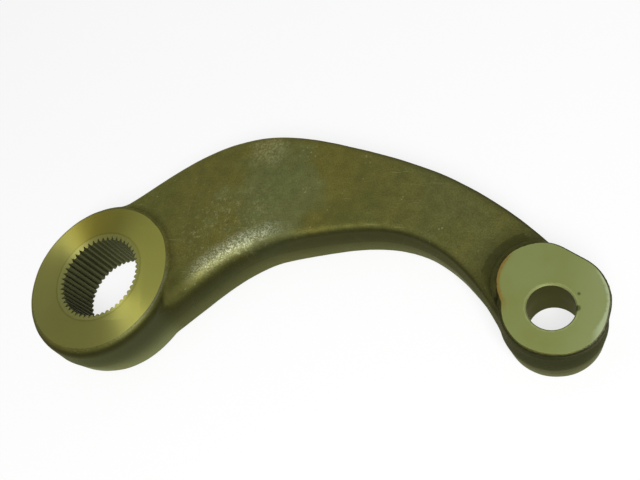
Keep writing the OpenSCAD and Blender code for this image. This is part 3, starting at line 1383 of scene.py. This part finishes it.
@dataclass
class PitmanArm:
    """The arm: forged blank, machined faces and eyes, and its finishes, with sizes in millimetres."""

    name: str = "pitman_arm_forging"
    sizes: ArmSizes = field(default_factory=ArmSizes)
    marks: SkinMarks = field(default_factory=SkinMarks)
    sharp: float = math.radians(24.0)
    over: float = 2.0
    facing_height: float = 4.0
    facing_room: float = 0.15
    lower_facing_r: float = 36.0
    oval_facing_r: float = 22.0
    weld: float = 0.002
    ring_reach: float = 40.0
    oval_reach: float = 30.0
    taper_reach: float = 2.5
    flat_gap: float = 0.001
    flat_up: float = 0.999
    lead_in_room: float = 0.02
    lead_in_up: float = 0.3
    taper_up: float = 0.4

    def build(self) -> Thing:
        """Builds, machines and dresses the arm.

        Returns:
            The finished piece.
        """
        blank = ForgedBlank(self.sizes)
        points, quads = blank.skin()
        mesh = bpy.data.meshes.new(self.name)
        mesh.from_pydata((points * MM).tolist(), [], quads.tolist())
        piece = linked(self.name, mesh)
        LOG.info("forged skin: %d quads", len(quads))
        self.dress(piece)
        self.machine(piece)
        self.sort_faces(piece)
        self.mark_skin(piece, blank)
        self.shade_skin(piece, blank)
        return piece

    def dress(self, piece: Thing) -> None:
        """Gives the piece its material slots, in the order of Finish.

        Args:
            piece: The arm.
        """
        shaft, stud = (0.0, 0.0), (self.sizes.centre_distance * MM, 0.0)
        finishes = {
            Finish.FORGED: ForgedFinish(),
            Finish.TURNED: RingFinish(
                "turned_ring", rgb(132, 128, 62), rgb(124, 121, 60), shaft,
                metallic=1.0, roughness=0.7, anisotropic=1.0),
            Finish.BROACHED: CutFinish(
                "broached_serrations", rgb(82, 84, 52), rgb(72, 74, 46), shaft,
                metallic=0.1, roughness=0.6, specular=0.2),
            Finish.MILLED: PadFinish(
                "faced_oval", rgb(112, 120, 72), rgb(108, 114, 60), stud,
                metallic=0.6, roughness=0.48, band_tone=0.04, mark_depth=0.000005),
            Finish.REAMED: CutFinish(
                "reamed_taper", rgb(62, 64, 28), rgb(52, 54, 24), stud,
                metallic=0.6, roughness=0.55, specular=0.1),
        }
        for finish in Finish:
            piece.data.materials.append(finishes[finish].material())

    def facing_tools(self) -> list[Thing]:
        """Tools that cut the flat faces of both eyes.

        Returns:
            The tools.
        """
        s, tall = self.sizes, self.facing_height
        shaft, oval = (0.0, 0.0), s.pads[0][0]
        cuts = [
            ("facing_upper_ring", shaft, s.big_face_r + self.facing_room, s.top),
            ("facing_lower_ring", shaft, self.lower_facing_r, -s.top - tall),
            ("facing_upper_oval", oval, self.oval_facing_r, s.top),
            ("facing_lower_oval", oval, self.oval_facing_r, -s.top - tall)]
        return [turned_tool(name, axis, [(r, low), (r, low + tall)]) for name, axis, r, low in cuts]

    def eye_tools(self, broached: bpy.types.Material) -> list[Thing]:
        """Tools that cut both eyes.

        Args:
            broached: Finish of the serrations.

        Returns:
            The bore with its lead-ins, the broach and the taper reamer.
        """
        s, over = self.sizes, self.over
        top, rim, lead = s.top, s.edge_break, s.lead_in_depth
        small = s.taper_small_r
        large = small + top / s.taper_ratio
        mouth = s.lead_in_r + (s.lead_in_r - s.tip_r) * over / lead
        return [
            turned_tool("bore_and_lead_in", (0.0, 0.0), [
                (mouth, -top - over), (s.tip_r, -top + lead),
                (s.tip_r, top - lead), (mouth, top + over)]),
            SerrationTool(s).build(broached),
            turned_tool("taper_reamer", s.small_eye, [
                (large + rim + over, -top - over), (large, -top + rim),
                (small, top - rim), (small + rim + over, top + over)]),
        ]

    def machine(self, piece: Thing) -> None:
        """Cuts the faces, the serrated eye and the tapered eye.

        Args:
            piece: The forged arm.
        """
        tools = self.facing_tools() + self.eye_tools(piece.data.materials[Finish.BROACHED.value])
        for tool in tools:
            cut = piece.modifiers.new(tool.name, "BOOLEAN")
            cut.operation = "DIFFERENCE"
            cut.solver = "EXACT"
            cut.object = tool
        bake(piece)
        with edited(piece.data) as bm:
            bmesh.ops.remove_doubles(bm, verts=bm.verts, dist=self.weld * MM)
        for tool in tools:
            bpy.data.objects.remove(tool)
        LOG.info("machined: %d faces", len(piece.data.polygons))

    def sort_faces(self, piece: Thing) -> None:
        """Gives each face the finish of the cut that made it, and a sharp border between finishes.

        Args:
            piece: The machined arm.
        """
        s, mesh = self.sizes, piece.data
        centre = read(mesh.polygons, "center", 3) / MM
        up = np.abs(read(mesh.polygons, "normal", 3)[:, 2])
        big, small = (np.hypot(*(centre[:, :2] - axis).T) for axis in ((0.0, 0.0), s.small_eye))
        flat = (np.abs(np.abs(centre[:, 2]) - s.top) < self.flat_gap) & (up > self.flat_up)
        in_taper = small < s.taper_small_r + self.taper_reach
        rules = [
            (Finish.TURNED, flat & (big < self.ring_reach)),
            (Finish.MILLED, flat & (small < self.oval_reach)),
            (Finish.TURNED, (big < s.lead_in_r + self.lead_in_room) & (up > self.lead_in_up) & ~flat),
            (Finish.BROACHED, (big < s.lead_in_r) & (up <= self.lead_in_up)),
            (Finish.REAMED, in_taper & ~flat & (up < self.taper_up)),
            (Finish.MILLED, in_taper & (up >= self.taper_up))]
        finish = np.full(len(up), Finish.FORGED.value, np.int32)
        for kind, chosen in rules:
            finish[chosen] = kind.value
        mesh.polygons.foreach_set("material_index", finish)
        mesh.shade_smooth()
        mesh.set_sharp_from_angle(angle=self.sharp)
        with edited(mesh) as bm:
            for edge in bm.edges:
                if len({f.material_index for f in edge.link_faces}) > 1:
                    edge.smooth = False

    def mark_skin(self, piece: Thing, blank: ForgedBlank) -> None:
        """Stores the layers of the forged skin on the vertices.

        Args:
            piece: The machined arm.
            blank: Its forging.
        """
        mesh = piece.data
        for name, values in self.marks.layers(blank, read(mesh.vertices, "co", 3) / MM).items():
            layer = mesh.attributes.new(name, "FLOAT", "POINT")
            layer.data.foreach_set("value", values.astype(np.float32))

    def shade_skin(self, piece: Thing, blank: ForgedBlank) -> None:
        """Gives the forged skin the exact normals of its form; the cut faces keep their own.

        Args:
            piece: The machined arm.
            blank: Its forging.
        """
        mesh = piece.data
        normal = read(mesh.corner_normals, "vector", 3, np.float32)
        vertex = read(mesh.loops, "vertex_index", kind=np.int32)
        finish = read(mesh.polygons, "material_index", kind=np.int32)
        corners = read(mesh.polygons, "loop_total", kind=np.int32)
        forged = np.repeat(finish == Finish.FORGED.value, corners)
        used = np.unique(vertex[forged])
        exact = np.zeros((len(mesh.vertices), 3), np.float32)
        exact[used] = blank.skin_normals(read(mesh.vertices, "co", 3)[used] / MM)
        normal[forged] = exact[vertex[forged]]
        mesh.normals_split_custom_set(normal.tolist())


@dataclass(frozen=True)
class Lamp:
    """Soft square lamp: where it hangs, the side of the square, in metres, and its power in watts."""

    name: str
    place: tuple
    size: float
    power: float


@dataclass
class Studio:
    """Pale floor, soft lamps, world and camera, in metres."""

    floor_z: float = -0.0103
    floor_reach: float = 6.0
    floor_colour: tuple = (0.94, 0.94, 0.94, 1.0)
    floor_white: float = 0.75
    world_light: float = 0.2
    lamp_aim: tuple = (0.06, 0.02, 0.0)
    lamps: tuple = (
        Lamp("key", (0.35, -0.42, 0.71), 0.45, 7.8),
        Lamp("overhead", (-0.25, 0.30, 1.1), 0.8, 0.9))
    lens: float = 40.55
    sensor: float = 36.0
    clip: tuple = (0.01, 50.0)
    camera_place: tuple = (0.17348, -0.07796, 0.20838)
    camera_right: tuple = (0.92484, 0.20079, -0.32304)
    camera_down: tuple = (0.03697, -0.89268, -0.44918)
    camera_ahead: tuple = (-0.37852, 0.40349, -0.83302)

    @staticmethod
    def seen(b: NodeBench) -> Socket:
        """One for the rays that see a background, straight or in metal or glass, and nought for others."""
        path = b.add("ShaderNodeLightPath").outputs
        return b.most(*(path[f"Is {kind} Ray"] for kind in ("Camera", "Glossy", "Transmission")))

    def floor(self) -> None:
        """Pale floor that keeps the arm's shadow and is clear from below."""
        mesh = bpy.data.meshes.new("floor")
        with edited(mesh) as bm:
            bmesh.ops.create_grid(bm, x_segments=1, y_segments=1, size=self.floor_reach)
        floor = linked("floor", mesh)
        floor.location.z = self.floor_z
        mat, b = new_material("pale_floor")
        lit = b.add("ShaderNodeBsdfDiffuse", {0: self.floor_colour})
        white = b.add("ShaderNodeEmission", {0: WHITE, 1: 1.0})
        share = b.times(self.seen(b), self.floor_white)
        above = b.add("ShaderNodeMixShader", {0: share, 1: lit.outputs[0], 2: white.outputs[0]})
        clear = b.add("ShaderNodeBsdfTransparent")
        below = b.add("ShaderNodeNewGeometry").outputs["Backfacing"]
        whole = b.add("ShaderNodeMixShader", {0: below, 1: above.outputs[0], 2: clear.outputs[0]})
        b.add("ShaderNodeOutputMaterial", {0: whole.outputs[0]})
        mesh.materials.append(mat)

    def light(self) -> None:
        """World and lamps."""
        world = bpy.data.worlds.new("studio")
        bpy.context.scene.world = world
        world.use_nodes = True
        b = NodeBench(world.node_tree)
        strength = b.math("ADD", self.world_light, b.times(self.seen(b), 1 - self.world_light))
        back = b.add("ShaderNodeBackground", {0: WHITE, 1: strength})
        b.add("ShaderNodeOutputWorld", {0: back.outputs[0]})
        for kind in self.lamps:
            data = bpy.data.lights.new(kind.name, "AREA")
            data.size, data.energy = kind.size, kind.power
            lamp = linked(kind.name, data)
            lamp.location = kind.place
            lamp.rotation_mode = "QUATERNION"
            aim = Vector(self.lamp_aim) - Vector(kind.place)
            lamp.rotation_quaternion = aim.to_track_quat("-Z", "Y")

    def camera(self) -> None:
        """Camera at the photograph's viewing angle."""
        data = bpy.data.cameras.new("camera")
        data.lens, data.sensor_width = self.lens, self.sensor
        data.clip_start, data.clip_end = self.clip
        camera = linked("camera", data)
        axes = (self.camera_right, self.camera_down, self.camera_ahead)
        right, down, ahead = (Vector(axis).normalized() for axis in axes)
        turn = Matrix((right, -down, -ahead)).transposed()
        camera.matrix_world = Matrix.Translation(self.camera_place) @ turn.to_4x4()
        bpy.context.scene.camera = camera

    def build(self) -> None:
        """Builds the whole studio."""
        self.floor()
        self.light()
        self.camera()
        bpy.context.scene.view_settings.view_transform = "Standard"


def main() -> None:
    """Builds the arm and the studio."""
    logging.basicConfig(level=logging.INFO, format="%(name)s: %(message)s")
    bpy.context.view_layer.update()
    piece = PitmanArm().build()
    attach(piece, "root")
    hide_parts(NODE)
    LOG.info("piece %s: %d faces", piece.name, len(piece.data.polygons))
    Studio().build()


if __name__ == "__main__":
    main()
